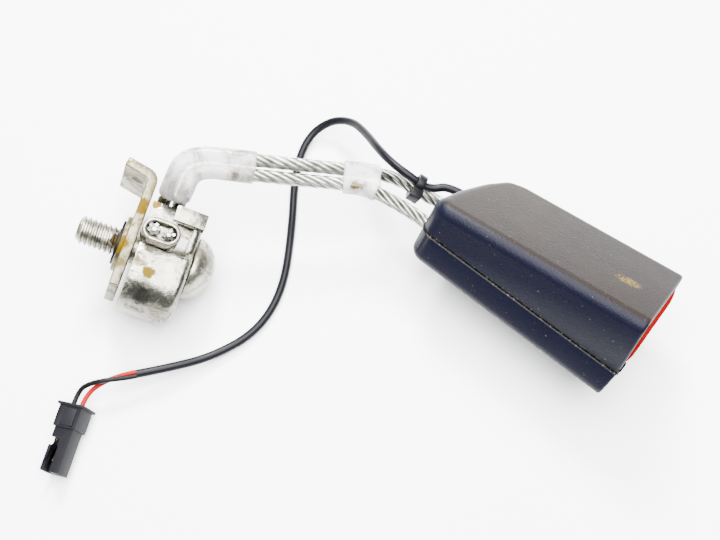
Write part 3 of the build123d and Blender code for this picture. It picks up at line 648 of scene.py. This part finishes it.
# pressed and moulded pieces with their edges broken
# width is the bevel's, pick chooses the edges, and the cutters are boxes in the plug's directions
def softened(node, name, body, width, finish, pick=None, segments=2, cutters=()):
    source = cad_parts[node]
    piece = bpy.data.objects.new(name, source.data.copy())
    bpy.context.collection.objects.link(piece)
    bpy.context.view_layer.objects.active = piece
    piece.select_set(True)
    bpy.ops.object.mode_set(mode="EDIT")
    bpy.ops.mesh.select_all(action="SELECT")
    bpy.ops.mesh.remove_doubles(threshold=0.000004)
    bpy.ops.mesh.dissolve_limited(angle_limit=math.radians(1.5))
    bpy.ops.object.mode_set(mode="OBJECT")
    for low, high in cutters:
        bpy.ops.mesh.primitive_cube_add(size=1)
        knife = bpy.context.object
        size = [b - a for a, b in zip(low, high)]
        middle = [(a + b) / 2 for a, b in zip(low, high)]
        for vertex in knife.data.vertices:
            local = [vertex.co[axis] * size[axis] + middle[axis] for axis in range(3)]
            vertex.co = plugOrigin + plugWay * local[0] + plugAcross * local[1] + plugUp * local[2]
        piece.select_set(True)
        bpy.context.view_layer.objects.active = piece
        cut = piece.modifiers.new("Cut", "BOOLEAN")
        cut.operation = "DIFFERENCE"
        cut.object = knife
        bpy.ops.object.modifier_apply(modifier="Cut")
        bpy.data.objects.remove(knife)
    if pick:
        bpy.ops.object.mode_set(mode="EDIT")
        bpy.ops.mesh.select_mode(type="EDGE")
        bpy.ops.mesh.select_all(action="DESELECT")
        bpy.ops.mesh.edges_select_sharp(sharpness=math.radians(35))
        bpy.ops.object.mode_set(mode="OBJECT")
        for edge in piece.data.edges:
            ends = [piece.data.vertices[corner].co for corner in edge.vertices]
            edge.select = edge.select and all(pick(end) for end in ends)
        bpy.ops.object.mode_set(mode="EDIT")
        bpy.ops.mesh.bevel(offset=width, segments=segments, affect="EDGES", clamp_overlap=False)
        bpy.ops.mesh.select_mode(type="VERT")
        bpy.ops.object.mode_set(mode="OBJECT")
    else:
        edge = piece.modifiers.new("Edge", "BEVEL")
        edge.width = width
        edge.segments = segments
        edge.limit_method = "ANGLE"
        edge.angle_limit = math.radians(35)
        bpy.ops.object.modifier_apply(modifier="Edge")
    bpy.ops.object.shade_smooth_by_angle(angle=math.radians(32))
    piece.data.materials.clear()
    piece.data.materials.append(finish)
    piece.select_set(False)
    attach(piece, body)
    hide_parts(node)
    return piece


# the outer rim of the mouth, apart from the seam
mouthSet = {"front": 0.0795, "seam": 0.0014, "side": 0.0200, "top": 0.0212, "bottom": -0.0118,
            "cornerSide": 0.0164, "cornerTop": 0.0172, "cornerReach": 0.0041}


def atMouth(place):
    local = place - headOrigin
    across, up = local.dot(headSide), local.dot(headUp)
    pastSide = max(abs(across) - mouthSet["cornerSide"], 0)
    pastTop = max(up - mouthSet["cornerTop"], 0)
    corner = pastSide ** 2 + pastTop ** 2 > mouthSet["cornerReach"] ** 2
    outer = abs(across) > mouthSet["side"] or up > mouthSet["top"] or up < mouthSet["bottom"] or corner
    return local.x > mouthSet["front"] and abs(up) > mouthSet["seam"] and outer


softened("cable_bracket", "pressedBracket", "buckle", 0.00045, zincFinish)
softened("anchor_plate", "pressedPlate", "plate", 0.0005, plateFinish)
plugHousing = softened("connector_housing", "plugHousing", "buckle", 0.0002, plugFinish,
                       cutters=[((0.0150, -0.0066, -0.0030), (0.0245, -0.0042, 0.0010)),
                                ((0.0122, -0.0090, -0.0032), (0.0150, -0.0046, 0.0010))])
plugLock = softened("connector_lock", "plugLock", "buckle", 0.0002, plugFinish)
# each coil's fixed end along the head, and the share of its length that is left when pressed
for node, name, joint, end, keep in (("button_spring", "buttonCoil", "button_press", 0.0609, 0.68),
                                     ("ejector_spring", "ejectorCoil", "ejector_slide", 0.0252, 0.31)):
    coil = softened(node, name, "buckle", 0.00003, frameFinish, segments=1)
    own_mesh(coil)
softened("cable_tie", "nylonTie", "buckle", 0.0003, tieFinish)
softened("upper_cover", "coverTop", "buckle", 0.0012, coverFinish, atMouth, 3)
softened("lower_cover", "coverBase", "buckle", 0.0009, coverFinish, atMouth, 3)
print("edges broken")
lengthOf(routePoints(leadRoute))

# floor and light
floorSet = {"size": 6, "colour": (0.93, 0.94, 0.95, 1), "rough": 0.6}
bpy.ops.mesh.primitive_plane_add(size=floorSet["size"], location=(0, 0, 0))
floor = bpy.context.object
floor.name = "floor"
floorFinish, _, floorSkin = nodeSet("paleFloor")
floorSkin.inputs["Base Color"].default_value = floorSet["colour"]
floorSkin.inputs["Roughness"].default_value = floorSet["rough"]
floor.data.materials.append(floorFinish)
floor.select_set(False)

lightSet = {"overhead": ((0.05, 0.05, 1.0), 1.0, 84), "farPanel": ((-0.32, 1.0, 0.34), 0.8, 11),
            "key": ((-0.55, 0.55, 0.85), 0.30, 52)}
lightAim = Vector((0, 0, 0.02))
for name, (place, size, power) in lightSet.items():
    bpy.ops.object.light_add(type="AREA", location=place)
    lamp = bpy.context.object
    lamp.name = name
    lamp.data.size = size
    lamp.data.energy = power
    lamp.rotation_euler = (lightAim - Vector(place)).to_track_quat("-Z", "Y").to_euler()
    lamp.select_set(False)
roomSet = {"colour": (0.92, 0.95, 1.0, 1), "strength": 0.3}
world = bpy.context.scene.world or bpy.data.worlds.new("room")
bpy.context.scene.world = world
world.use_nodes = True
sky = world.node_tree.nodes["Background"]
sky.inputs["Color"].default_value = roomSet["colour"]
sky.inputs["Strength"].default_value = roomSet["strength"]
print("light set")
